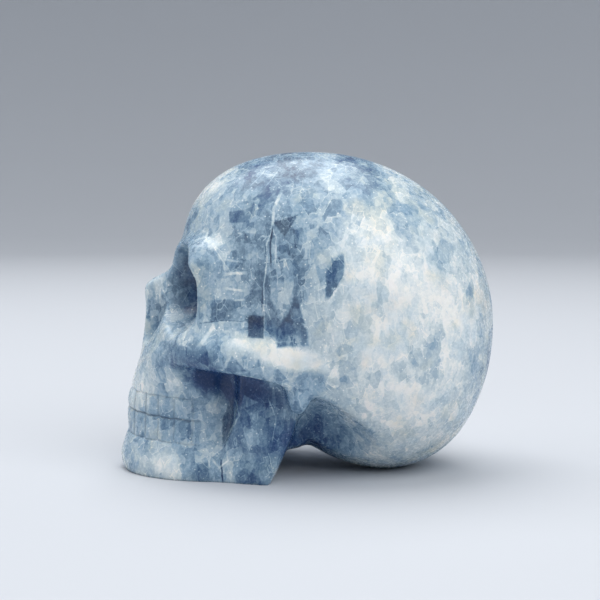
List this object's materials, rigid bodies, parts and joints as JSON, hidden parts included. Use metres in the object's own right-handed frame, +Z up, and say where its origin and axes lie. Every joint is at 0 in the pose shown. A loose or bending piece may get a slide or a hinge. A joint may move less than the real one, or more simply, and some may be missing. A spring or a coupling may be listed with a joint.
{
  "type": "carved stone skull",
  "caption": "Human skull carved from one solid piece of polished blue calcite, resting on its flat-ground jaw as a shelf ornament or paperweight.",
  "frame": {"origin": "On the surface that the skull rests on, under the middle of its bounding box", "axes": "+Z up; -Y the way the face looks, +Y towards the back of the head; +X the skull's own left side"},
  "size_m": [0.07, 0.1007, 0.0851],
  "materials": {
    "calcite": "polished, translucent blue-white with pale veins"
  },
  "bodies": {
    "root": {"skull": "calcite"}
  },
  "joints": []
}
